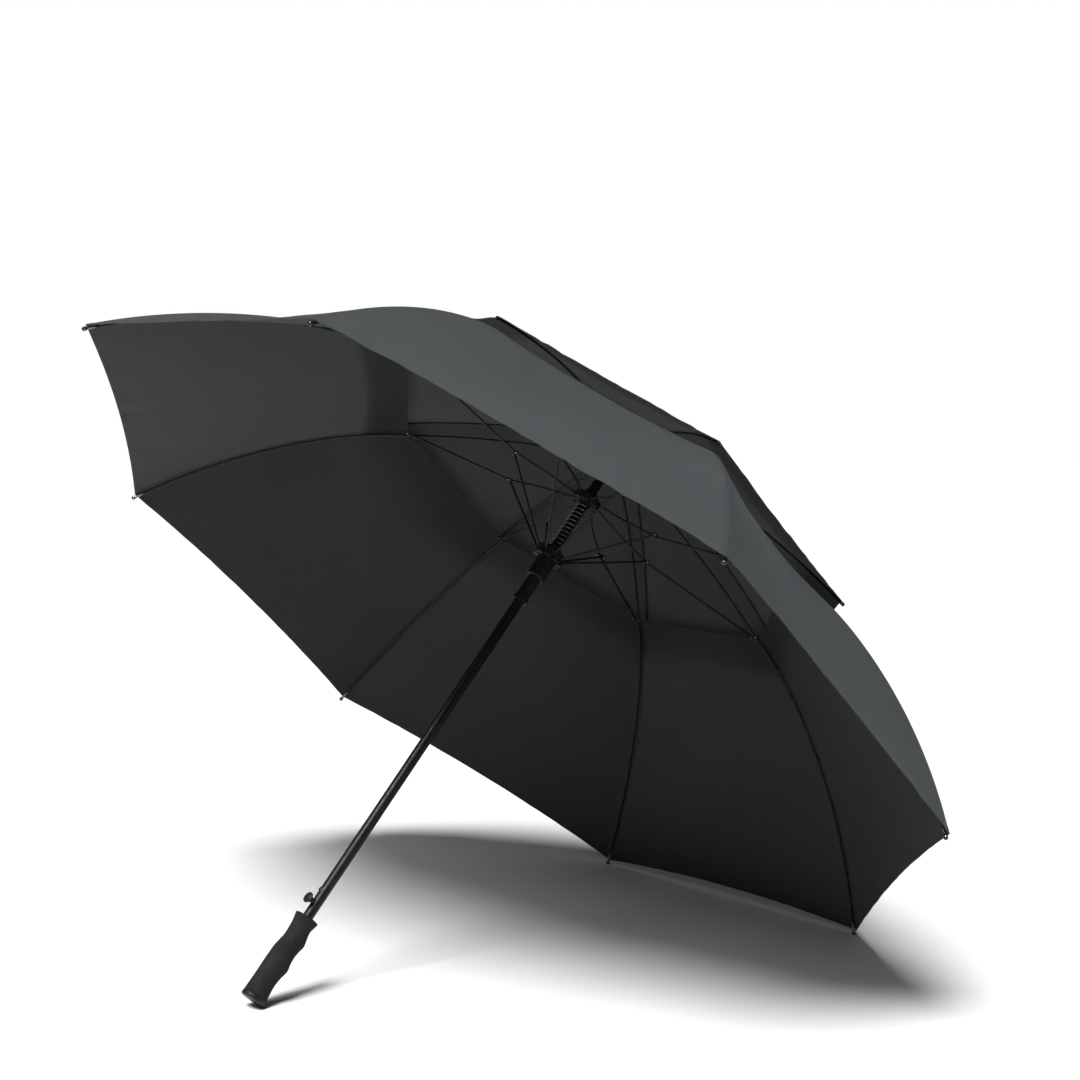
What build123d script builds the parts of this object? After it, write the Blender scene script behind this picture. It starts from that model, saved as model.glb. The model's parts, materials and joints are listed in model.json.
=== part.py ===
from build123d import *

import os
from math import asin, atan2, cos, hypot, radians, sin

# A double-canopy golf umbrella, open and lying on its handle end and two rib tips.
#
# Every piece is drawn in the umbrella's own axes: +Z runs up the shaft from the end of the handle, and a rib
# is drawn in the XZ plane, X outwards, then turned to its place round the shaft. The last step lays the whole
# umbrella down: +Z up from the floor, +X the way the shaft leans, origin under the middle of the rib tips.

os.makedirs("parts", exist_ok=True)

# ---------------------------------------------------------------- driving dimensions, millimetres and degrees
rib_count = 8
rib_step = 360 / rib_count
half_step = rib_step / 2

shaft_radius = 7.0
shaft_wall = 1.1
shaft_bottom = 10.0
shaft_top = 929.0
slide_clearance = 0.08
seat_clearance = 0.02
skin_clearance = 0.3

# Rings up the grip, as (height, distance from the shaft's axis at the back, the same at the finger side).
grip_rings = (
    (6.0, 16.5, 16.4),
    (16.0, 16.4, 14.7),
    (29.0, 16.3, 13.6),
    (41.0, 16.2, 14.8),
    (52.0, 16.1, 17.2),
    (62.0, 16.0, 15.3),
    (71.0, 15.8, 14.6),
    (80.0, 14.0, 15.8),
    (89.0, 12.3, 17.8),
    (99.0, 12.8, 15.2),
    (108.0, 13.7, 13.7),
    (116.0, 15.3, 15.2),
    (121.0, 16.3, 16.3),
)
finger_side_angle = 0.0
end_cap_height = 6.0
end_cap_radius = 16.8
end_cap_edge = 2.0
end_cap_plug = 12.0

button_angle = 180.0
button_height = 141.6
button_stem_radius = 2.6
button_neck_radius = 3.6
button_head_radius = 7.2
button_neck = 10.0
button_head = 15.8
button_rim = 17.2
button_face = 19.5
button_hole_clearance = 0.15
catch_window_clearance = 0.3
latch_strip_inner = 2.4
latch_strip_outer = 3.2
latch_strip_width = 4.0
latch_strip_overhang = 4.0
catch_low = 157.4
catch_high = 163.4
catch_step = 2.5
catch_reach = 8.8

# Places in a rib's plane, as (distance from the shaft's axis, height above the handle end).
rib_pivot = (12.4, 886.0)
rib_rivet = (316.0, 812.5)
rib_bend = (444.0, 757.0)
rib_tip = (671.0, 554.5)
collar_pivot = (16.7, 810.5)
brace_rivet = (122.0, 798.0)
runner_pivot = (17.2, 712.0)
vent_pivot = (16.0, 919.0)
vent_tip = (408.0, 797.0)

inner_rib_rise = (1.9, 8.0)
inner_rib_end_slope = -19.5
outer_rib_start_slope = -16.0
vent_rib_start_slope = -9.0
rib_radius = 2.0
outer_rib_radius = 1.8
vent_rib_radius = 1.5
rod_radius = 1.6
knuckle_radius = 2.8
tip_ball_radius = 3.0
eye_radius = 2.5
eye_hole_radius = 1.05
eye_shoulder = 0.15
wire_radius = 0.8
rivet_radius = 1.3
rivet_head_radius = 2.4
rod_rivet_head_radius = 2.1
rod_rivet_head = 1.3
stretcher_side = 5.5
joggle_start = 14.0
joggle_end = 44.0

notch_rim = 4.0
slot_clearance = 0.4
slot_root = 0.9
collar_low = 803.0
collar_high = 824.0
collar_hub_radius = 10.5
collar_flange = (805.0, 816.0)
rib_notch_low = 876.0
rib_notch_high = 893.0
rib_notch_hub_radius = 8.0
rib_notch_flange = (881.0, 891.0)
vent_notch_low = 910.0
vent_notch_high = 924.0
vent_notch_hub_radius = 11.5
vent_notch_flange = (914.0, 923.0)
runner_low = 673.0
runner_high = 723.0
runner_radius = 13.5
runner_edge = 1.5
runner_flange = (705.0, 718.0)
sleeve_low = 632.0
sleeve_radius = 9.5
sleeve_rim_radius = 10.7
sleeve_rim_height = 6.0
sleeve_mouth_radius = 8.4
sleeve_mouth_depth = 14.0
spring_seat_depth = 23.0
spring_radius = 8.3
spring_wire = 0.8
spring_turns = 15

skin_thickness = 0.6
skin_points = 8
gore_dip = 16.0
hem_recess = 0.022
vent_hem_recess = 0.02
cap_radius = 24.0
cap_low = 924.3
cap_high = 925.6
cap_shoulder = (12.0, 930.5)
cap_waist = (7.5, 938.0)
ferrule_shank_radius = 4.6
ferrule_tip_radius = 1.5
ferrule_top = 975.0

# ---------------------------------------------------------------- how the open umbrella lies on the floor
tip_reach = rib_tip[0] * cos(radians(half_step))
rim_centre = end_cap_radius - end_cap_edge
run = tip_reach - rim_centre
rise = rib_tip[1] - end_cap_edge
lean = atan2(run, rise) + asin((tip_ball_radius - end_cap_edge) / hypot(run, rise))
lift = end_cap_edge + rim_centre * cos(lean) - end_cap_edge * sin(lean)
lying = Plane(
    origin=(-rib_tip[1] * cos(lean), 0, lift),
    x_dir=(sin(lean), 0, -cos(lean)),
    z_dir=(cos(lean), 0, sin(lean)),
).location


def write_node(piece, node, turn=0.0):
    """Lays a finished piece down, turned round the shaft, and writes it as its own node."""
    piece.part.label = node
    piece.part.location = lying * Location((0, 0, 0), (0, 0, turn))
    export_step(piece.part, f"parts/{node}.step")


def direction(slope):
    """The unit direction in a rib's plane that slopes up by so many degrees."""
    return (cos(radians(slope)), sin(radians(slope)))


def radial_plane(angle, side=0.0):
    """The plane through the shaft's axis at an angle, moved sideways, X outwards and Y up the shaft."""
    outward = (cos(radians(angle)), sin(radians(angle)), 0)
    sideways = (sin(radians(angle)), -cos(radians(angle)), 0)
    origin = (sideways[0] * side, sideways[1] * side, 0)
    return Plane(origin=origin, x_dir=outward, z_dir=sideways)


def disc_across(point, radius, y_low, y_high, mode=Mode.ADD):
    """A short cylinder across the rib's plane, from one side distance to another."""
    with BuildSketch(Plane(origin=(0, y_low, 0), x_dir=(1, 0, 0), z_dir=(0, -1, 0))) as disc:
        with Locations(point):
            Circle(radius)
    extrude(disc.sketch, amount=-(y_high - y_low), mode=mode)


def rod_eye(point, rod, hole=0.0, side=0.0):
    """A flat round eye on a rod, a little thicker than the rod, with or without a hole for a wire."""
    reach = rod + eye_shoulder
    disc_across(point, eye_radius, side - reach, side + reach)
    if hole:
        disc_across(point, hole, side - reach, side + reach, mode=Mode.SUBTRACT)


def round_rod(path, radius):
    """Sweeps a round section along a path from its first end."""
    with BuildSketch(Plane(origin=path @ 0, z_dir=path % 0)) as section:
        Circle(radius)
    sweep(section.sketch, path=path)


def slotted_ring(pivot, half_width, flange, hub_radius, hub_low, hub_high, bore):
    """A ring of radial slots with a wire round it, on which the inner ends of rods turn."""
    low, high = flange
    slot_inner = pivot[0] - eye_radius - slot_root
    rim = pivot[0] + notch_rim
    with BuildSketch(Plane.XZ) as profile:
        with BuildLine():
            Polyline(
                (bore, hub_low),
                (hub_radius, hub_low),
                (hub_radius, low),
                (rim, low),
                (rim, high),
                (hub_radius, high),
                (hub_radius, hub_high),
                (bore, hub_high),
                close=True,
            )
        make_face()
    revolve(profile.sketch, axis=Axis.Z)
    slot_width = 2 * (half_width + slot_clearance)
    with BuildSketch(Plane.XY.offset(low - 1)) as slots:
        with PolarLocations(slot_inner + rim, rib_count, start_angle=half_step):
            Rectangle(2 * rim, slot_width)
    extrude(slots.sketch, amount=high - low + 2, mode=Mode.SUBTRACT)
    with Locations((0, 0, pivot[1])):
        Torus(pivot[0], wire_radius)


# ---------------------------------------------------------------- the shaft and handle
with BuildPart() as shaft:
    with BuildSketch(Plane.XY.offset(shaft_bottom)):
        Circle(shaft_radius)
        Circle(shaft_radius - shaft_wall, mode=Mode.SUBTRACT)
    extrude(amount=shaft_top - shaft_bottom)
    across = Plane(origin=(0, 0, 0), x_dir=(0, 0, 1), z_dir=radial_plane(button_angle).x_dir)
    with BuildSketch(across):
        with Locations((button_height, 0)):
            Circle(button_stem_radius + button_hole_clearance)
        with Locations(((catch_low + catch_high) / 2, 0)):
            Rectangle(
                catch_high - catch_low + 2 * catch_window_clearance,
                latch_strip_width + 2 * catch_window_clearance,
            )
    extrude(amount=shaft_radius + 1, mode=Mode.SUBTRACT)
write_node(shaft, "shaft")

with BuildPart() as grip:
    finger_side = radial_plane(finger_side_angle).x_dir
    for height, back, front in grip_rings:
        with BuildSketch(Plane(origin=finger_side * ((front - back) / 2) + Vector(0, 0, height))):
            Circle((front + back) / 2)
    loft()
    with BuildSketch(Plane.XY.offset(end_cap_height)):
        Circle(shaft_radius + seat_clearance)
    extrude(amount=grip_rings[-1][0] - end_cap_height, mode=Mode.SUBTRACT)
write_node(grip, "grip")

with BuildPart() as grip_end_cap:
    with BuildSketch():
        Circle(end_cap_radius)
    extrude(amount=end_cap_height)
    fillet(grip_end_cap.faces().sort_by(Axis.Z)[0].edges(), end_cap_edge)
    with BuildSketch(Plane.XY.offset(end_cap_height)):
        Circle(shaft_radius - shaft_wall - 0.1)
    extrude(amount=end_cap_plug)
write_node(grip_end_cap, "grip_end_cap")

# ---------------------------------------------------------------- the opening button and its catch
with BuildPart() as button:
    with BuildSketch(Plane.XZ) as profile:
        with BuildLine():
            stem = Polyline(
                (latch_strip_outer, button_height),
                (latch_strip_outer, button_height + button_stem_radius),
                (button_neck, button_height + button_stem_radius),
                (button_neck, button_height + button_neck_radius),
            )
            neck = Spline(
                stem @ 1,
                (button_head, button_height + button_head_radius),
                tangents=((1, 0.15), (0.5, 1)),
            )
            rim = Line(neck @ 1, (button_rim, button_height + button_head_radius))
            dome_height = button_face - button_rim
            dome_radius = (button_head_radius**2 + dome_height**2) / (2 * dome_height)
            face = RadiusArc(rim @ 1, (button_face, button_height), dome_radius)
            Line(face @ 1, stem @ 0)
        make_face()
    revolve(profile.sketch, axis=Axis((0, 0, button_height), (1, 0, 0)))
write_node(button, "button", button_angle)

with BuildPart() as button_catch:
    with BuildSketch(Plane(origin=(latch_strip_inner, 0, 0), x_dir=(0, 0, 1), z_dir=(1, 0, 0))):
        with Locations(((button_height + catch_high) / 2, 0)):
            Rectangle(catch_high - button_height + 2 * latch_strip_overhang, latch_strip_width)
    extrude(amount=latch_strip_outer - latch_strip_inner)
    with BuildSketch(Plane.XZ):
        with BuildLine():
            Polyline(
                (latch_strip_outer, catch_low),
                (catch_reach, catch_low),
                (catch_reach, catch_low + catch_step),
                (shaft_radius + 0.2, catch_high),
                (latch_strip_outer, catch_high),
                close=True,
            )
        make_face()
    extrude(amount=latch_strip_width / 2, both=True)
write_node(button_catch, "button_catch", button_angle)

# ---------------------------------------------------------------- what slides on the shaft
bore_radius = shaft_radius + slide_clearance
with BuildPart() as runner:
    slotted_ring(
        runner_pivot, rod_radius, runner_flange, runner_radius, runner_low, runner_high, bore_radius
    )
    with BuildSketch(Plane.XY.offset(runner_high)):
        Circle(spring_radius + 2 * spring_wire)
    extrude(amount=-spring_seat_depth, mode=Mode.SUBTRACT)
    fillet(runner.faces().sort_by(Axis.Z)[0].outer_wire().edges(), runner_edge)
write_node(runner, "runner")

with BuildPart() as runner_sleeve:
    with BuildSketch(Plane.XZ):
        with BuildLine():
            Polyline(
                (bore_radius, runner_low),
                (sleeve_radius, runner_low),
                (sleeve_radius, sleeve_low + sleeve_rim_height),
                (sleeve_rim_radius, sleeve_low + sleeve_rim_height),
                (sleeve_rim_radius, sleeve_low),
                (sleeve_mouth_radius, sleeve_low),
                (sleeve_mouth_radius, sleeve_low + sleeve_mouth_depth),
                (bore_radius, sleeve_low + sleeve_mouth_depth + 3),
                close=True,
            )
        make_face()
    revolve(axis=Axis.Z)
write_node(runner_sleeve, "runner_sleeve")

with BuildPart() as crown_collar:
    slotted_ring(
        collar_pivot, rod_radius, collar_flange, collar_hub_radius, collar_low, collar_high, bore_radius
    )
write_node(crown_collar, "crown_collar")

with BuildPart() as main_spring:
    spring_low = runner_high - spring_seat_depth + spring_wire + 0.1
    spring_height = collar_low - spring_low - spring_wire - 0.1
    coil = Helix(spring_height / spring_turns, spring_height, spring_radius, center=(0, 0, spring_low))
    round_rod(coil, spring_wire)
write_node(main_spring, "main_spring")

# ---------------------------------------------------------------- the head of the umbrella
seat_radius = shaft_radius + seat_clearance
with BuildPart() as rib_notch:
    slotted_ring(
        rib_pivot,
        rib_radius,
        rib_notch_flange,
        rib_notch_hub_radius,
        rib_notch_low,
        rib_notch_high,
        seat_radius,
    )
write_node(rib_notch, "rib_notch")

with BuildPart() as vent_notch:
    slotted_ring(
        vent_pivot,
        vent_rib_radius,
        vent_notch_flange,
        vent_notch_hub_radius,
        vent_notch_low,
        vent_notch_high,
        seat_radius,
    )
write_node(vent_notch, "vent_notch")

with BuildPart() as ferrule:
    with BuildSketch(Plane.XZ):
        with BuildLine():
            plate = Line((seat_radius, cap_low), (cap_radius, cap_low))
            edge = Line(plate @ 1, (cap_radius, cap_high))
            shoulder = Spline(edge @ 1, cap_shoulder, cap_waist, tangents=((-1, 0.12), (-0.1, 1)))
            sides = Line(shoulder @ 1, (ferrule_shank_radius, ferrule_top - 22))
            nose_radius = ferrule_shank_radius - 0.1 - ferrule_tip_radius
            shank = Line(sides @ 1, (ferrule_shank_radius - 0.1, ferrule_top - nose_radius))
            nose = RadiusArc(shank @ 1, (ferrule_tip_radius, ferrule_top), -nose_radius)
            Line(nose @ 1, (0, ferrule_top))
            Line((0, ferrule_top), (0, shaft_top + 0.3))
            Line((0, shaft_top + 0.3), (seat_radius, shaft_top + 0.3))
            Line((seat_radius, shaft_top + 0.3), plate @ 0)
        make_face()
    revolve(axis=Axis.Z)
write_node(ferrule, "ferrule")

# ---------------------------------------------------------------- ribs, stretchers and braces
knuckle_gap = knuckle_radius + 0.5
inner_along = direction(inner_rib_end_slope)
inner_end = (rib_rivet[0] - knuckle_gap * inner_along[0], rib_rivet[1] - knuckle_gap * inner_along[1])
inner_middle = (
    (rib_pivot[0] + inner_end[0]) / 2 + inner_rib_rise[0],
    (rib_pivot[1] + inner_end[1]) / 2 + inner_rib_rise[1],
)

with BuildPart() as inner_rib:
    with BuildLine(Plane.XZ) as inner_line:
        ThreePointArc(rib_pivot, inner_middle, inner_end)
    round_rod(inner_line.line, rib_radius)
    rod_eye(rib_pivot, rib_radius, eye_hole_radius)

pin_end = stretcher_side - rod_radius - eye_shoulder - skin_clearance
with BuildPart() as outer_rib:
    with BuildLine(Plane.XZ) as outer_line:
        near = TangentArc(rib_rivet, rib_bend, tangent=direction(outer_rib_start_slope))
        far = TangentArc(rib_bend, rib_tip, tangent=near % 1)
    round_rod(outer_line.line, outer_rib_radius)
    with Locations((rib_rivet[0], 0, rib_rivet[1])):
        Sphere(knuckle_radius)
    with Locations((rib_tip[0], 0, rib_tip[1])):
        Sphere(tip_ball_radius)
    disc_across(rib_rivet, rivet_radius, -knuckle_radius, pin_end)
    disc_across(rib_rivet, rivet_head_radius, -knuckle_radius - 1.0, 0.2 - knuckle_radius)

with BuildPart() as stretcher:
    slope = (brace_rivet[1] - collar_pivot[1]) / (brace_rivet[0] - collar_pivot[0])
    with BuildLine() as stretcher_line:
        FilletPolyline(
            (collar_pivot[0], 0, collar_pivot[1]),
            (collar_pivot[0] + joggle_start, 0, collar_pivot[1] + joggle_start * slope),
            (collar_pivot[0] + joggle_end, stretcher_side, collar_pivot[1] + joggle_end * slope),
            (brace_rivet[0], stretcher_side, brace_rivet[1]),
            (rib_rivet[0], stretcher_side, rib_rivet[1]),
            radius=18,
        )
    round_rod(stretcher_line.line, rod_radius)
    rod_eye(collar_pivot, rod_radius, eye_hole_radius)
    outer_face = stretcher_side + rod_radius
    for rivet in (brace_rivet, rib_rivet):
        rod_eye(rivet, rod_radius, side=stretcher_side)
        disc_across(rivet, rod_rivet_head_radius, outer_face, outer_face + rod_rivet_head)

with BuildPart() as brace:
    with BuildLine() as brace_line:
        Line((runner_pivot[0], 0, runner_pivot[1]), (brace_rivet[0], 0, brace_rivet[1]))
    round_rod(brace_line.line, rod_radius)
    rod_eye(runner_pivot, rod_radius, eye_hole_radius)
    rod_eye(brace_rivet, rod_radius)
    disc_across(brace_rivet, rivet_radius, rod_radius, pin_end)
    disc_across(brace_rivet, rod_rivet_head_radius, -rod_radius - rod_rivet_head, -rod_radius)

# ---------------------------------------------------------------- the two canopies
with BuildLine(Plane.XZ) as vent_line:
    TangentArc(vent_pivot, vent_tip, tangent=direction(vent_rib_start_slope))


def skin_section(path, plane, first, last, lift, narrowing, dip):
    """A thin strip of canopy in a plane through the shaft, following the rib's line above its rod."""
    above = []
    below = []
    for step in range(skin_points + 1):
        share = first + (last - first) * step / skin_points
        place = path @ share
        along = path % share
        sag = dip * sin(radians(180 * share))
        for height, side in ((lift, below), (lift + skin_thickness, above)):
            outwards = place.X - along.Z * height - sag * 0.6
            upwards = place.Z + along.X * height - sag * 0.8
            side.append((outwards * narrowing, upwards))
    with BuildSketch(plane) as strip:
        with BuildLine():
            lower = Spline(*below)
            Line(lower @ 1, above[-1])
            Spline(*reversed(above))
            Line(above[0], lower @ 0)
        make_face()
    return strip.sketch


def skin_wings(path, first, last, recess, lift, dip):
    """A rib's share of a canopy: a wing each side of the rib, out to the middle of each gore."""
    gore = cos(radians(half_step))
    shift = skin_clearance / 2
    one_side = skin_section(path, radial_plane(-half_step, -shift), first, last - recess, lift, gore, dip)
    middle = skin_section(path, radial_plane(0), first, last, lift, 1.0, 0.0)
    other_side = skin_section(path, radial_plane(half_step, shift), first, last - recess, lift, gore, dip)
    loft([one_side, middle, other_side], ruled=True)


with BuildPart() as canopy_panel:
    main_lift = outer_rib_radius + skin_clearance
    skin_wings(outer_line.line, 0.012, 0.992, hem_recess, main_lift + knuckle_radius, gore_dip)

with BuildPart() as vent_panel:
    round_rod(vent_line.line, vent_rib_radius)
    rod_eye(vent_pivot, vent_rib_radius, eye_hole_radius)
    with Locations((vent_tip[0], 0, vent_tip[1])):
        Sphere(vent_rib_radius + 0.8)
    skin_wings(vent_line.line, 0.025, 0.985, vent_hem_recess, vent_rib_radius + skin_clearance, 0.5 * gore_dip)

round_the_shaft = {
    "inner_rib": inner_rib,
    "outer_rib": outer_rib,
    "stretcher": stretcher,
    "brace": brace,
    "canopy_panel": canopy_panel,
    "vent_panel": vent_panel,
}
for number in range(1, rib_count + 1):
    for name, piece in round_the_shaft.items():
        write_node(piece, f"{name}_{number}", (number - 0.5) * rib_step)
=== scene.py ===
import json
from collections import namedtuple
from math import atan2, cos, exp, hypot, pi, radians, sin

import bpy
from mathutils import Matrix, Vector, noise

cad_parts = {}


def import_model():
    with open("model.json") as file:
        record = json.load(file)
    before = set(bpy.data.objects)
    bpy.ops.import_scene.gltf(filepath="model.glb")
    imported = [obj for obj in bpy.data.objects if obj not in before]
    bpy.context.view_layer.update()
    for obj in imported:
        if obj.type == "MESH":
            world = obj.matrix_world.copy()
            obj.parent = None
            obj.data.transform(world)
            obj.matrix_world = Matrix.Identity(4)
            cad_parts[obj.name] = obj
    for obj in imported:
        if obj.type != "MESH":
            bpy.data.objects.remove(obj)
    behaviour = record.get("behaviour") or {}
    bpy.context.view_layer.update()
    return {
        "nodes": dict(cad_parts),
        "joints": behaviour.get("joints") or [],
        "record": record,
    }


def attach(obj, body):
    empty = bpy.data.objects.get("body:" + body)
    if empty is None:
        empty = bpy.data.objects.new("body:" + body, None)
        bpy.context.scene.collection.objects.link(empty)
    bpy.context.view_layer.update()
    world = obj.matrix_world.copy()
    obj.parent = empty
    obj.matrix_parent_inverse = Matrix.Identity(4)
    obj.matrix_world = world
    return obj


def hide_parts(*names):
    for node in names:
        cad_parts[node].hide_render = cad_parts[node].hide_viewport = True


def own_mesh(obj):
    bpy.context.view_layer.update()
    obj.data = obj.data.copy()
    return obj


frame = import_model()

# A double-canopy golf umbrella, lying open. The CAD frame gives the shaft, rods and plastic parts their
# shape; the cloth, the grip, the spring and the small metal parts are made here, in the umbrella's own axes:
# Z up the shaft from the handle's end, and a rib in the XZ plane before it is turned to its place.

# ---------------------------------------------------------------- driving sizes, in millimetres and degrees
MM = 0.001
RIBS = 8
STEP = 360 / RIBS
HALF = radians(STEP / 2)

RIB_RIVET = (316.0, 812.5)
RIB_BEND = (444.0, 757.0)
RIB_TIP = (671.0, 554.5)
VENT_PIVOT = (16.0, 919.0)
VENT_TIP = (408.0, 797.0)
BRACE_RIVET = (122.0, 798.0)
OUTER_START_SLOPE = -16.0
VENT_START_SLOPE = -9.0
RIVET_SIDE = 5.5
ROD_RADIUS = 1.6
VENT_ROD_RADIUS = 1.5

GRIP_BORE = 7.05
GRIP_EDGE = 0.9
# Rings up the grip, as (height, distance from the shaft's axis at the back, the same at the finger side).
GRIP_RINGS = (
    (6.3, 16.5, 16.4),
    (16.0, 16.4, 14.7),
    (29.0, 16.3, 13.6),
    (41.0, 16.2, 14.8),
    (52.0, 16.1, 17.2),
    (62.0, 16.0, 15.3),
    (71.0, 15.8, 14.6),
    (80.0, 14.0, 15.8),
    (89.0, 12.3, 17.8),
    (99.0, 12.8, 15.2),
    (108.0, 13.7, 13.7),
    (116.0, 15.3, 15.2),
    (121.0, 16.3, 16.3),
)

SPRING_LOW, SPRING_HIGH = 701.0, 802.2
SPRING_RADIUS, SPRING_WIRE, SPRING_TURNS = 8.3, 0.85, 15

RIVET_HEIGHT = 1.0
OUTER_RIB_RIVET_SIDE = -3.5

CLOTH = 0.45
HEM_CLOTH = 1.3
HEM_WIDTH = 9.0
SEAM_WIDTH = 3.0
STITCH_WIDTH = 1.6

# ---------------------------------------------------------------- the umbrella's own axes, from the frame
joints = {joint["name"]: joint for joint in frame["joints"]}
mounts = {mount["name"]: mount for mount in frame["record"]["mounts"]}
shaft_up = -Vector(joints["runner_slide"]["axis"])
handle_end = Vector(mounts["handle_end"]["pos_m"])
floorward = Vector((shaft_up.z, 0.0, -shaft_up.x))
sideways = shaft_up.cross(floorward)
lying = Matrix.Translation(handle_end) @ Matrix((floorward, sideways, shaft_up)).transposed().to_4x4()


def rib_turn(number):
    """The turn round the shaft of a rib, counted from 1."""
    return (number - 0.5) * radians(STEP)


def place(x, y, z, turn=0.0):
    """A point given in millimetres in a rib's own axes, in the row frame in metres."""
    across = x * cos(turn) - y * sin(turn), x * sin(turn) + y * cos(turn)
    return lying @ Vector((across[0] * MM, across[1] * MM, z * MM))


def heading(x, y, z, turn=0.0):
    """A direction given in a rib's own axes, in the row frame."""
    return (place(x, y, z, turn) - place(0, 0, 0, turn)).normalized()


# ---------------------------------------------------------------- lines in a rib's plane
def tangent_arc(start, slope, end):
    """An arc from start, leaving at a slope, to end: its function of share, its length and its last slope."""
    chord = atan2(end[1] - start[1], end[0] - start[0])
    span = hypot(end[0] - start[0], end[1] - start[1])
    turn = 2 * (chord - slope)
    radius = span / (2 * sin(turn / 2))

    def at(share):
        angle = slope + turn * share
        across = radius * (sin(angle) - sin(slope))
        upwards = radius * (cos(slope) - cos(angle))
        return (start[0] + across, start[1] + upwards), (cos(angle), sin(angle))

    return at, abs(radius * turn), slope + turn


def chain(*arcs):
    """One line made of arcs end to end, by share of its whole length. Past either end it runs on straight."""
    whole = sum(length for _, length, _ in arcs)

    def at(share):
        along = share * whole
        clamped = min(max(along, 0.0), whole)
        rest = clamped
        for arc, length, _ in arcs:
            if rest <= length + 1e-6 or arc is arcs[-1][0]:
                (x, z), (dx, dz) = arc(min(rest / length, 1.0))
                break
            rest -= length
        over = along - clamped
        return (x + dx * over, z + dz * over), (dx, dz)

    return at, whole


near_arc = tangent_arc(RIB_RIVET, radians(OUTER_START_SLOPE), RIB_BEND)
far_arc = tangent_arc(RIB_BEND, near_arc[2], RIB_TIP)
outer_line, outer_length = chain(near_arc, far_arc)
vent_line, vent_length = chain(tangent_arc(VENT_PIVOT, radians(VENT_START_SLOPE), VENT_TIP))


# ---------------------------------------------------------------- mesh helpers
def new_mesh(name, points, faces, material):
    """A piece from points in the row frame and its faces."""
    mesh = bpy.data.meshes.new(name)
    mesh.from_pydata([tuple(point) for point in points], [], faces)
    mesh.materials.append(material)
    mesh.validate()
    for face in mesh.polygons:
        face.use_smooth = True
    piece = bpy.data.objects.new(name, mesh)
    bpy.context.scene.collection.objects.link(piece)
    return piece


def grid_faces(rows, columns, start=0, wrap=False, flip=False):
    """The quads of a grid whose points are numbered row by row."""
    faces = []
    for row in range(rows - 1):
        for column in range(columns if wrap else columns - 1):
            right = (column + 1) % columns
            quad = [
                start + row * columns + column,
                start + row * columns + right,
                start + (row + 1) * columns + right,
                start + (row + 1) * columns + column,
            ]
            faces.append(quad[::-1] if flip else quad)
    return faces


def tube(name, stations, material, sides=14):
    """A closed round tube through (point, direction, radius) stations, in metres."""
    points = []
    for centre, along, radius in stations:
        side = along.cross(shaft_up)
        if side.length < 1e-4:
            side = along.cross(sideways)
        side.normalize()
        other = along.cross(side).normalized()
        for corner in range(sides):
            angle = 2 * pi * corner / sides
            points.append(centre + (side * cos(angle) + other * sin(angle)) * radius)
    faces = grid_faces(len(stations), sides, wrap=True)
    first, last = len(points), len(points) + 1
    points += [stations[0][0], stations[-1][0]]
    for corner in range(sides):
        right = (corner + 1) % sides
        faces.append([first, right, corner])
        top = (len(stations) - 1) * sides
        faces.append([last, top + corner, top + right])
    return new_mesh(name, points, faces, material)


def turned(name, centre, along, profile, material, sides=32):
    """A turned piece: (distance along, radius) pairs in millimetres round an axis."""
    stations = [(centre + along * (far * MM), along, max(radius, 0.02) * MM) for far, radius in profile]
    return tube(name, stations, material, sides)


# ---------------------------------------------------------------- materials
class Nodes:
    """A new material and short calls that add and join its nodes."""

    def __init__(self, name):
        self.material = bpy.data.materials.new(name)
        self.material.use_nodes = True
        self.tree = self.material.node_tree
        self.shader = self.tree.nodes["Principled BSDF"]
        self.output = self.tree.nodes["Material Output"]

    def add(self, kind, **inputs):
        node = self.tree.nodes.new(kind)
        for key, value in inputs.items():
            node.inputs[key.replace("_", " ")].default_value = value
        return node

    def join(self, out, into):
        self.tree.links.new(out, into)

    def set(self, **values):
        for key, value in values.items():
            self.shader.inputs[key.replace("_", " ")].default_value = value

    def coordinates(self):
        return self.tree.nodes.new("ShaderNodeTexCoord").outputs["Object"]

    def noise(self, scale, detail=3.0, stretch=None):
        texture = self.add("ShaderNodeTexNoise", Scale=scale, Detail=detail)
        source = self.coordinates()
        if stretch:
            mapping = self.add("ShaderNodeMapping")
            mapping.inputs["Scale"].default_value = stretch
            self.join(source, mapping.inputs["Vector"])
            source = mapping.outputs["Vector"]
        self.join(source, texture.inputs["Vector"])
        return texture.outputs["Fac"]

    def ramp(self, source, low, high, into, start=0.3, end=0.7):
        ramp = self.tree.nodes.new("ShaderNodeValToRGB")
        for element, position, value in zip(ramp.color_ramp.elements, (start, end), (low, high)):
            element.position = position
            element.color = (*value, 1) if hasattr(value, "__len__") else (value, value, value, 1)
        self.join(source, ramp.inputs["Fac"])
        self.join(ramp.outputs["Color"], into)

    def bump(self, source, strength, distance, before=None):
        bump = self.add("ShaderNodeBump", Strength=strength, Distance=distance)
        self.join(source, bump.inputs["Height"])
        if before:
            self.join(before.outputs["Normal"], bump.inputs["Normal"])
        return bump


def hard_black(name, colour, roughness, grain, grain_scale, coat=0.0):
    """A black plastic, painted or rubber finish with a fine grain and slightly uneven colour and gloss."""
    made = Nodes(name)
    made.set(Coat_Weight=coat, Coat_Roughness=0.3, Specular_IOR_Level=0.2)
    light = tuple(channel * 1.7 + 0.003 for channel in colour)
    gloss = made.shader.inputs["Roughness"]
    made.ramp(made.noise(60.0, 4.0), colour, light, made.shader.inputs["Base Color"])
    made.ramp(made.noise(220.0, 3.0), roughness - 0.07, roughness + 0.09, gloss)
    bump = made.bump(made.noise(grain_scale, 2.0), grain, 0.0003)
    made.join(bump.outputs["Normal"], made.shader.inputs["Normal"])
    return made.material


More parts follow.
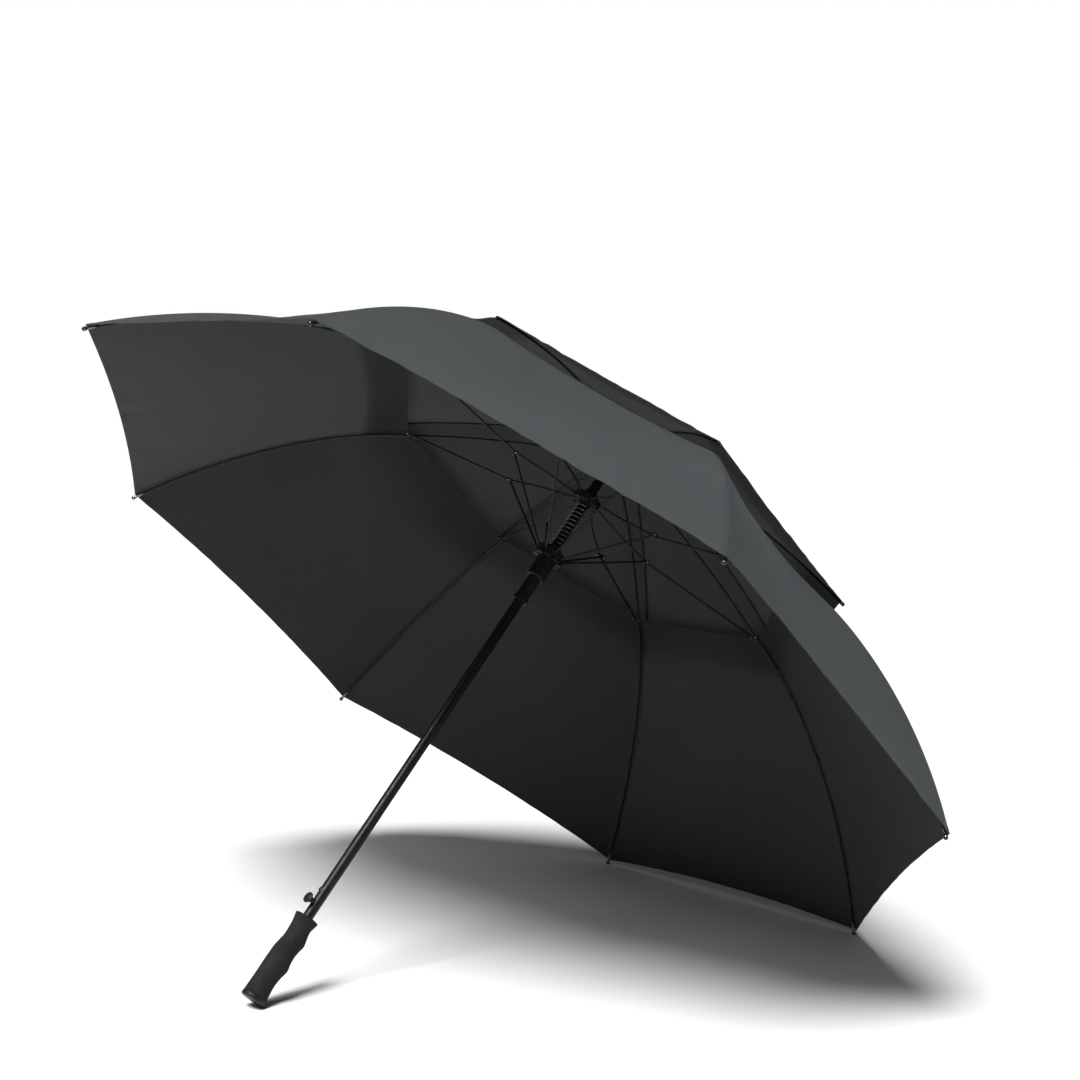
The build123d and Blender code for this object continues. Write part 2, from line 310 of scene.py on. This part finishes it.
def plated_metal(name, colour, roughness):
    """Plated or bare steel with fine scratches and slightly uneven gloss."""
    made = Nodes(name)
    made.set(Metallic=1.0)
    dull = tuple(channel * 0.72 for channel in colour)
    made.ramp(made.noise(300.0, 4.0), dull, colour, made.shader.inputs["Base Color"])
    gloss = made.shader.inputs["Roughness"]
    made.ramp(made.noise(900.0, 3.0), roughness - 0.08, roughness + 0.12, gloss)
    bump = made.bump(made.noise(1600.0, 2.0, (1.0, 1.0, 6.0)), 0.2, 0.0001)
    made.join(bump.outputs["Normal"], made.shader.inputs["Normal"])
    return made.material


def canopy_cloth(name):
    """Black pongee: a fine weave that lets a little light through, proofed and glossier on its outer face.
    Its outer face's lighter, bluish colour is painted sheen, and its inner face's darker colour is painted
    shade.
    """
    made = Nodes(name)
    made.set(Sheen_Weight=0.04, Sheen_Roughness=0.4, Sheen_Tint=(0.85, 0.93, 1.0, 1))
    outside = made.tree.nodes.new("ShaderNodeAttribute")
    outside.attribute_name = "outside"
    colour = made.tree.nodes.new("ShaderNodeMixRGB")
    made.join(outside.outputs["Fac"], colour.inputs["Fac"])
    # Colour by face: the inner face (Color1) is darkened as painted shade, and the outer face (Color2) is
    # lightened and tinted blue as painted sheen.
    made.ramp(made.noise(7.0, 5.0), (0.020, 0.021, 0.021), (0.028, 0.029, 0.029), colour.inputs["Color1"])
    made.ramp(made.noise(5.0, 5.0), (0.078, 0.087, 0.091), (0.092, 0.103, 0.108), colour.inputs["Color2"])
    made.join(colour.outputs["Color"], made.shader.inputs["Base Color"])
    made.ramp(outside.outputs["Fac"], 0.14, 0.22, made.shader.inputs["Specular IOR Level"])
    made.ramp(made.noise(24.0, 4.0), 0.5, 0.62, made.shader.inputs["Roughness"])
    uv = made.tree.nodes.new("ShaderNodeUVMap")
    uv.uv_map = "cut"
    threads = []
    for bands in ("X", "Y"):
        wave = made.add("ShaderNodeTexWave", Scale=420.0, Distortion=0.4, Detail=1.0)
        wave.bands_direction = bands
        made.join(uv.outputs["UV"], wave.inputs["Vector"])
        threads.append(wave.outputs["Fac"])
    weave = made.add("ShaderNodeMath")
    weave.operation = "MULTIPLY"
    made.join(threads[0], weave.inputs[0])
    made.join(threads[1], weave.inputs[1])
    woven = made.bump(weave.outputs["Value"], 0.25, 0.00012)
    creased = made.bump(made.noise(55.0, 3.0), 0.16, 0.0012, woven)
    stitch = made.tree.nodes.new("ShaderNodeAttribute")
    stitch.attribute_name = "stitch"
    sewn = made.bump(stitch.outputs["Fac"], 0.6, 0.0006, creased)
    made.join(sewn.outputs["Normal"], made.shader.inputs["Normal"])
    through = made.add("ShaderNodeBsdfTranslucent", Color=(0.29, 0.296, 0.29, 1))
    made.join(sewn.outputs["Normal"], through.inputs["Normal"])
    mix = made.add("ShaderNodeMixShader", Fac=0.5)
    made.join(made.shader.outputs["BSDF"], mix.inputs[1])
    made.join(through.outputs["BSDF"], mix.inputs[2])
    made.join(mix.outputs["Shader"], made.output.inputs["Surface"])
    return made.material


cloth = canopy_cloth("black_pongee")
tube_paint = hard_black("black_tube_paint", (0.003, 0.003, 0.0034), 0.42, 0.10, 900.0, coat=0.04)
fibre_rod = hard_black("black_fibre_rod", (0.004, 0.004, 0.0045), 0.42, 0.35, 500.0, coat=0.05)
rod_paint = hard_black("black_rod_paint", (0.004, 0.004, 0.0045), 0.45, 0.25, 700.0, coat=0.05)
plastic = hard_black("moulded_black_plastic", (0.006, 0.006, 0.0065), 0.48, 0.45, 1200.0)
rubber = hard_black("soft_black_rubber", (0.007, 0.007, 0.0075), 0.80, 1.0, 1700.0)
spring_steel = plated_metal("blackened_spring_steel", (0.16, 0.16, 0.165), 0.24)
dark_metal = plated_metal("black_nickel_plate", (0.20, 0.20, 0.205), 0.20)

node_looks = {
    "shaft": tube_paint,
    "grip_end_cap": plastic,
    "button": plastic,
    "button_catch": dark_metal,
    "runner": plastic,
    "runner_sleeve": plastic,
    "crown_collar": plastic,
    "rib_notch": plastic,
    "vent_notch": plastic,
    "ferrule": plastic,
    "inner_rib": fibre_rod,
    "outer_rib": fibre_rod,
    "stretcher": rod_paint,
    "brace": rod_paint,
}
for node, piece in frame["nodes"].items():
    look = node_looks.get(node.rstrip("_12345678"))
    if look:
        piece.data.materials.clear()
        piece.data.materials.append(look)
        for face in piece.data.polygons:
            face.material_index = 0


# ---------------------------------------------------------------- the canopies
# A canopy's rib line with its length and outer end, the shares of it where the cloth begins and ends, how
# much shorter the cloth is between ribs (a share), how deep it dips there and how far it lies above the rib's
# line (millimetres), the grid it is made of, and the seed of its creases.
Canopy = namedtuple("Canopy", "line length tip first last recess dip lift rows columns seed")
lower_canopy = Canopy(outer_line, outer_length, RIB_TIP, 0.012, 0.992, 0.024, 17.0, 5.0, 72, 45, 3.1)
vent_canopy = Canopy(vent_line, vent_length, VENT_TIP, 0.016, 0.99, 0.02, 8.0, 2.1, 60, 33, 8.4)

# Creases: their height, the distance from a seam where they reach it, the distance over which they fade
# (millimetres), and how fine they are round the canopy, along a rib and across a gore.
SOFT_HEIGHT, SOFT_CLEAR, SOFT_ROUND, SOFT_ALONG = 2.2, 60.0, 2.6, 3.0
RIPPLE_HEIGHT, RIPPLE_CLEAR, RIPPLE_ROUND, RIPPLE_ALONG = 1.5, 25.0, 30.0, 2.0
PUCKER_HEIGHT, PUCKER_CLEAR, PUCKER_ACROSS, PUCKER_ALONG = 0.55, 3.0, 1.5, 0.09
RIPPLE_FADE = 45.0
PUCKER_FADE = 11.0
RIPPLE_SEED = 7.3
APEX_EASE = 40.0
HALF_GORE = 0.383
HALF_GORE_SLOPE = 0.4142


def creases(canopy, number, share, side, around, to_seam, edge):
    """How far the cloth moves off its smooth shape: soft waves, ripples near hems, puckers near a seam."""
    soft = noise.noise(around * SOFT_ROUND + Vector((canopy.seed, 0.0, share * SOFT_ALONG)))
    ripple_seed = Vector((0.0, canopy.seed + RIPPLE_SEED, share * RIPPLE_ALONG))
    ripple = noise.noise(around * RIPPLE_ROUND + ripple_seed)
    along = share * canopy.length * PUCKER_ALONG
    pucker = noise.noise(Vector((along, side * PUCKER_ACROSS, canopy.seed + number)))
    move = SOFT_HEIGHT * soft * min(1.0, to_seam / SOFT_CLEAR)
    move += RIPPLE_HEIGHT * ripple * exp(-edge / RIPPLE_FADE) * min(1.0, to_seam / RIPPLE_CLEAR)
    return move + PUCKER_HEIGHT * pucker * exp(-to_seam / PUCKER_FADE) * min(1.0, to_seam / PUCKER_CLEAR)


def canopy_sheet(name, number, canopy):
    """A rib's share of a canopy: stretched cloth with folded hems, a wing to each gore's middle."""
    rows, columns = canopy.rows, canopy.columns
    turn = rib_turn(number)
    outer, inner, cut, stitched = [], [], [], []
    flat_area = 0.0
    previous = None
    for row in range(rows):
        across_row = []
        for column in range(columns):
            side = 2 * column / (columns - 1) - 1
            towards_middle = 1 - (1 - abs(side)) ** 2
            end = canopy.last - canopy.recess * towards_middle
            share = canopy.first + (end - canopy.first) * row / (rows - 1)
            (r, z), (dr, dz) = canopy.line(share)
            to_hem = (end - share) * canopy.length
            to_start = (share - canopy.first) * canopy.length
            to_seam = abs(side) * r * HALF_GORE
            sag = canopy.dip * sin(pi * min(max(share, 0.0), 1.0)) * towards_middle
            x = r * (1 - (1 - cos(HALF) ** 2) * abs(side))
            y = r * cos(HALF) * sin(HALF) * side
            bearing = atan2(y, x)
            fold = x * cos(bearing) + y * sin(bearing)
            around = Vector((cos(turn + bearing), sin(turn + bearing), 0.0))
            edge = min(to_hem, to_start + APEX_EASE)
            move = creases(canopy, number, share, side, around, to_seam, edge) - sag
            normal = Vector((-dz * cos(bearing), -dz * sin(bearing), dr))
            middle = Vector((x, y, z)) + normal * (canopy.lift + move)
            thick = HEM_CLOTH if min(to_hem, to_start) < HEM_WIDTH else CLOTH
            top = middle + normal * thick / 2
            low = middle - normal * thick / 2
            outer.append(place(*top, turn))
            inner.append(place(*low, turn))
            cut.append((share * canopy.length * MM, side * fold * HALF_GORE_SLOPE * MM))
            near = min(abs(to_hem - HEM_WIDTH), abs(to_start - HEM_WIDTH), abs(to_seam - SEAM_WIDTH))
            stitched.append(max(0.0, 1.0 - near / STITCH_WIDTH))
            across_row.append(middle)
        if previous:
            for column in range(columns - 1):
                a, b = across_row[column] - previous[column], previous[column + 1] - previous[column]
                flat_area += a.cross(b).length
        previous = across_row
    count = rows * columns
    faces = grid_faces(rows, columns) + grid_faces(rows, columns, count, flip=True)
    rim = [column for column in range(columns)]
    rim += [row * columns + columns - 1 for row in range(1, rows)]
    rim += [(rows - 1) * columns + column for column in range(columns - 2, -1, -1)]
    rim += [row * columns for row in range(rows - 2, 0, -1)]
    for here, there in zip(rim, rim[1:] + rim[:1]):
        faces.append([here, count + here, count + there, there][::-1])
    piece = new_mesh(name, outer + inner, faces, cloth)
    on_rim = set(rim)
    for edge in piece.data.edges:
        start, end = edge.vertices
        edge.use_edge_sharp = start // count == end // count and {start % count, end % count} <= on_rim
    layer = piece.data.uv_layers.new(name="cut")
    for loop in piece.data.loops:
        layer.data[loop.index].uv = cut[loop.vertex_index % count]
    # The outside mask marks the outer face, which the cloth material gives painted sheen, and the inner face,
    # which it gives painted shade.
    for title, values in (("stitch", stitched + stitched), ("outside", [1.0] * count + [0.0] * count)):
        attribute = piece.data.attributes.new(title, "FLOAT", "POINT")
        for index, value in enumerate(values):
            attribute.data[index].value = value
    return piece, flat_area * MM * MM


def add_cloth(kind, number, canopy, body, node):
    """Makes one sheet, hides the node it stands for and hangs the sheet on the body that it rides."""
    piece, area = canopy_sheet(f"{kind}_{number}", number, canopy)
    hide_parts(f"{node}_{number}")
    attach(piece, f"{body}_{number}")
    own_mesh(piece)


for number in range(1, RIBS + 1):
    add_cloth("canopy_cloth", number, lower_canopy, "outer_rib", "canopy_panel")
    add_cloth("vent_cloth", number, vent_canopy, "vent_rib", "vent_panel")


# ---------------------------------------------------------------- ribs' small parts
def vent_rod(number):
    """The upper canopy's rib, with the knob that its cloth is tied to."""
    turn = rib_turn(number)
    stations = []
    for step in range(25):
        (x, z), (dx, dz) = vent_line(0.004 + 0.99 * step / 24)
        stations.append((place(x, 0, z, turn), heading(dx, 0, dz, turn), VENT_ROD_RADIUS * MM))
    (x, z), (dx, dz) = vent_line(1.0)
    for far, radius in ((-3.0, 2.3), (1.0, 2.5), (3.2, 2.0), (4.2, 0.4)):
        stations.append((place(x + dx * far, 0, z + dz * far, turn), heading(dx, 0, dz, turn), radius * MM))
    return tube(f"vent_rod_{number}", stations, fibre_rod)


def rib_tip_cap(number):
    """The small dark cap on a rib's end, with a waist that the cloth is sewn into."""
    turn = rib_turn(number)
    (x, z), (dx, dz) = outer_line(1.0)
    sleeve = ((-16, 2.0), (-15.4, 2.25), (-7, 2.3), (-5.4, 1.9), (-3.8, 1.9))
    ball = ((-2.4, 2.9), (0, 3.05), (1.6, 2.6), (2.6, 1.5), (3.0, 0.2))
    along = heading(dx, 0, dz, turn)
    return turned(f"rib_tip_{number}", place(x, 0, z, turn), along, sleeve + ball, dark_metal, 20)


def rivet_cap(name, number, point, side, facing):
    """A domed rivet head on the side of a rod."""
    turn = rib_turn(number)
    profile = ((-0.4, 2.2), (0.3, 2.45), (0.8, 2.2), (1.3, 1.4), (1.5, 0.2))
    centre = place(point[0], side, point[1], turn)
    return turned(name, centre, heading(0, facing, 0, turn), profile, dark_metal, 20)


outer_face = RIVET_SIDE + ROD_RADIUS + RIVET_HEIGHT
for number in range(1, RIBS + 1):
    rod = vent_rod(number)
    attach(rod, f"vent_rib_{number}")
    cap = rib_tip_cap(number)
    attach(cap, f"outer_rib_{number}")
    for name, body, point, side, facing in (
        (f"rib_rivet_{number}", f"stretcher_{number}", RIB_RIVET, outer_face, 1),
        (f"rib_rivet_back_{number}", f"outer_rib_{number}", RIB_RIVET, OUTER_RIB_RIVET_SIDE, -1),
        (f"brace_rivet_{number}", f"stretcher_{number}", BRACE_RIVET, outer_face, 1),
        (f"brace_rivet_back_{number}", f"brace_{number}", BRACE_RIVET, -ROD_RADIUS - RIVET_HEIGHT, -1),
    ):
        head = rivet_cap(name, number, point, side, facing)
        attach(head, body)


# ---------------------------------------------------------------- the grip
def ring_distance(z, column):
    """The grip's back (column 1) or finger side (column 2) at a height, smoothly through the rings."""
    last = len(GRIP_RINGS) - 1
    index = 0
    while index < last - 1 and GRIP_RINGS[index + 1][0] < z:
        index += 1
    low, high = GRIP_RINGS[index], GRIP_RINGS[index + 1]
    before, after = GRIP_RINGS[max(index - 1, 0)], GRIP_RINGS[min(index + 2, last)]
    gap = high[0] - low[0]
    share = (z - low[0]) / gap
    rise_low = (high[column] - before[column]) / (high[0] - before[0]) * gap
    rise_high = (after[column] - low[column]) / (after[0] - low[0]) * gap
    return (
        low[column] * (1 + 2 * share) * (1 - share) ** 2
        + rise_low * share * (1 - share) ** 2
        + high[column] * share ** 2 * (3 - 2 * share)
        + rise_high * share ** 2 * (share - 1)
    )


def grip_ring(z, inset):
    """One ring of the grip: where its middle lies towards the fingers, and its radius."""
    back, front = ring_distance(z, 1), ring_distance(z, 2)
    return (front - back) / 2, (front + back) / 2 - inset


def handle_grip():
    """The soft grip: lopsided rings up its length, a small round at the top edge, a dished end and a bore."""
    low, high = GRIP_RINGS[0][0], GRIP_RINGS[-1][0]
    rings = [(low, *grip_ring(low, 0.4))]
    for step in range(1, 120):
        z = low + (high - GRIP_EDGE - low) * step / 119
        rings.append((z, *grip_ring(z, 0.0)))
    for step in range(1, 7):
        angle = step * pi / 12
        z = high - GRIP_EDGE * (1 - sin(angle))
        rings.append((z, *grip_ring(high, GRIP_EDGE * (1 - cos(angle)))))
    rings.append((high - 0.2, 0.0, 12.6))
    rings.append((high - 1.1, 0.0, 11.8))
    rings.append((high - 1.1, 0.0, GRIP_BORE))
    rings.append((low, 0.0, GRIP_BORE))
    sides = 72
    points = []
    for z, middle, radius in rings:
        for corner in range(sides):
            bearing = 2 * pi * corner / sides
            points.append(place(middle + radius * cos(bearing), radius * sin(bearing), z))
    faces = grid_faces(len(rings), sides, wrap=True)
    last = (len(rings) - 1) * sides
    for corner in range(sides):
        right = (corner + 1) % sides
        faces.append([last + corner, last + right, right, corner])
    return new_mesh("handle_grip", points, faces, rubber)


grip = handle_grip()
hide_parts("grip")
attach(grip, "frame")


# ---------------------------------------------------------------- the opening spring
def opening_spring():
    """The coil round the shaft, wound at an even pitch from end to end."""
    steps = 26 * SPRING_TURNS
    stations = []
    for step in range(steps + 1):
        share = step / steps
        angle = 2 * pi * SPRING_TURNS * share
        z = SPRING_LOW + (SPRING_HIGH - SPRING_LOW) * share
        centre = place(SPRING_RADIUS * cos(angle), SPRING_RADIUS * sin(angle), z)
        along = heading(-sin(angle), cos(angle), 0.14)
        stations.append((centre, along, SPRING_WIRE * MM))
    return tube("opening_spring", stations, spring_steel, 10)


spring = opening_spring()
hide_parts("main_spring")
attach(spring, "runner")
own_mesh(spring)


# ---------------------------------------------------------------- floor, light and camera
FLOOR_REACH = 14.0
AMBIENT_LEVEL = 0.07
SUN_TOWARDS = (0.45, 0.22, -0.87)
SUN_STRENGTH = 4.7
SUN_SPREAD = 22
WINDOW_PLACE = (-2.6, 0.2, 3.4)
WINDOW_AIM = (0.0, -0.1, 0.7)
WINDOW_SIZE = 1.6
WINDOW_POWER = 45


def floor():
    """A plain pale floor."""
    mesh = bpy.data.meshes.new("floor")
    corners = [(x * FLOOR_REACH, y * FLOOR_REACH, 0) for x, y in ((-1, -1), (1, -1), (1, 1), (-1, 1))]
    mesh.from_pydata(corners, [], [(0, 1, 2, 3)])
    made = Nodes("pale_floor")
    made.set(Roughness=0.6)
    made.ramp(made.noise(2.0), (0.86, 0.86, 0.86), (0.89, 0.89, 0.89), made.shader.inputs["Base Color"])
    mesh.materials.append(made.material)
    piece = bpy.data.objects.new("floor", mesh)
    bpy.context.scene.collection.objects.link(piece)


def area_light(name, where, aim, size, power):
    """A round soft light that faces a point."""
    data = bpy.data.lights.new(name, "AREA")
    data.shape = "DISK"
    data.size = size
    data.energy = power
    light = bpy.data.objects.new(name, data)
    light.location = where
    light.rotation_euler = (Vector(aim) - Vector(where)).to_track_quat("-Z", "Y").to_euler()
    bpy.context.scene.collection.objects.link(light)


def sun(name, towards, strength, spread):
    """Even light from far off, soft because it comes from a wide patch."""
    data = bpy.data.lights.new(name, "SUN")
    data.energy = strength
    data.angle = radians(spread)
    light = bpy.data.objects.new(name, data)
    light.rotation_euler = Vector(towards).to_track_quat("-Z", "Y").to_euler()
    bpy.context.scene.collection.objects.link(light)


def world(level):
    """A white backdrop that lights the scene at a lower level than it shows."""
    made = bpy.data.worlds.new("studio")
    made.use_nodes = True
    tree = made.node_tree
    backdrop = tree.nodes["Background"]
    backdrop.inputs["Color"].default_value = (1.0, 1.0, 1.0, 1)
    backdrop.inputs["Strength"].default_value = 1.0
    ambient = tree.nodes.new("ShaderNodeBackground")
    ambient.inputs["Color"].default_value = (0.94, 0.98, 1.0, 1)
    ambient.inputs["Strength"].default_value = level
    path = tree.nodes.new("ShaderNodeLightPath")
    mix = tree.nodes.new("ShaderNodeMixShader")
    tree.links.new(path.outputs["Is Camera Ray"], mix.inputs[0])
    tree.links.new(ambient.outputs["Background"], mix.inputs[1])
    tree.links.new(backdrop.outputs["Background"], mix.inputs[2])
    tree.links.new(mix.outputs["Shader"], tree.nodes["World Output"].inputs["Surface"])
    bpy.context.scene.world = made


CAMERA_PLACE = Vector((-1.6581, -2.0451, 0.7885))
CAMERA_AIM = Vector((0.0943, 0.0065, 0.5588))
CAMERA_ROLL = radians(0.5)
CAMERA_LENS = 65.9


def camera():
    """The camera, with a slight roll."""
    data = bpy.data.cameras.new("camera")
    data.lens = CAMERA_LENS
    data.sensor_width = 36.0
    piece = bpy.data.objects.new("camera", data)
    look = (CAMERA_AIM - CAMERA_PLACE).to_track_quat("-Z", "Y").to_matrix().to_4x4()
    piece.matrix_world = Matrix.Translation(CAMERA_PLACE) @ look @ Matrix.Rotation(CAMERA_ROLL, 4, "Z")
    bpy.context.scene.collection.objects.link(piece)
    bpy.context.scene.camera = piece


floor()
world(AMBIENT_LEVEL)
sun("overhead", SUN_TOWARDS, SUN_STRENGTH, SUN_SPREAD)
area_light("left_window", WINDOW_PLACE, WINDOW_AIM, WINDOW_SIZE, WINDOW_POWER)
bpy.context.scene.view_settings.view_transform = "Standard"
camera()
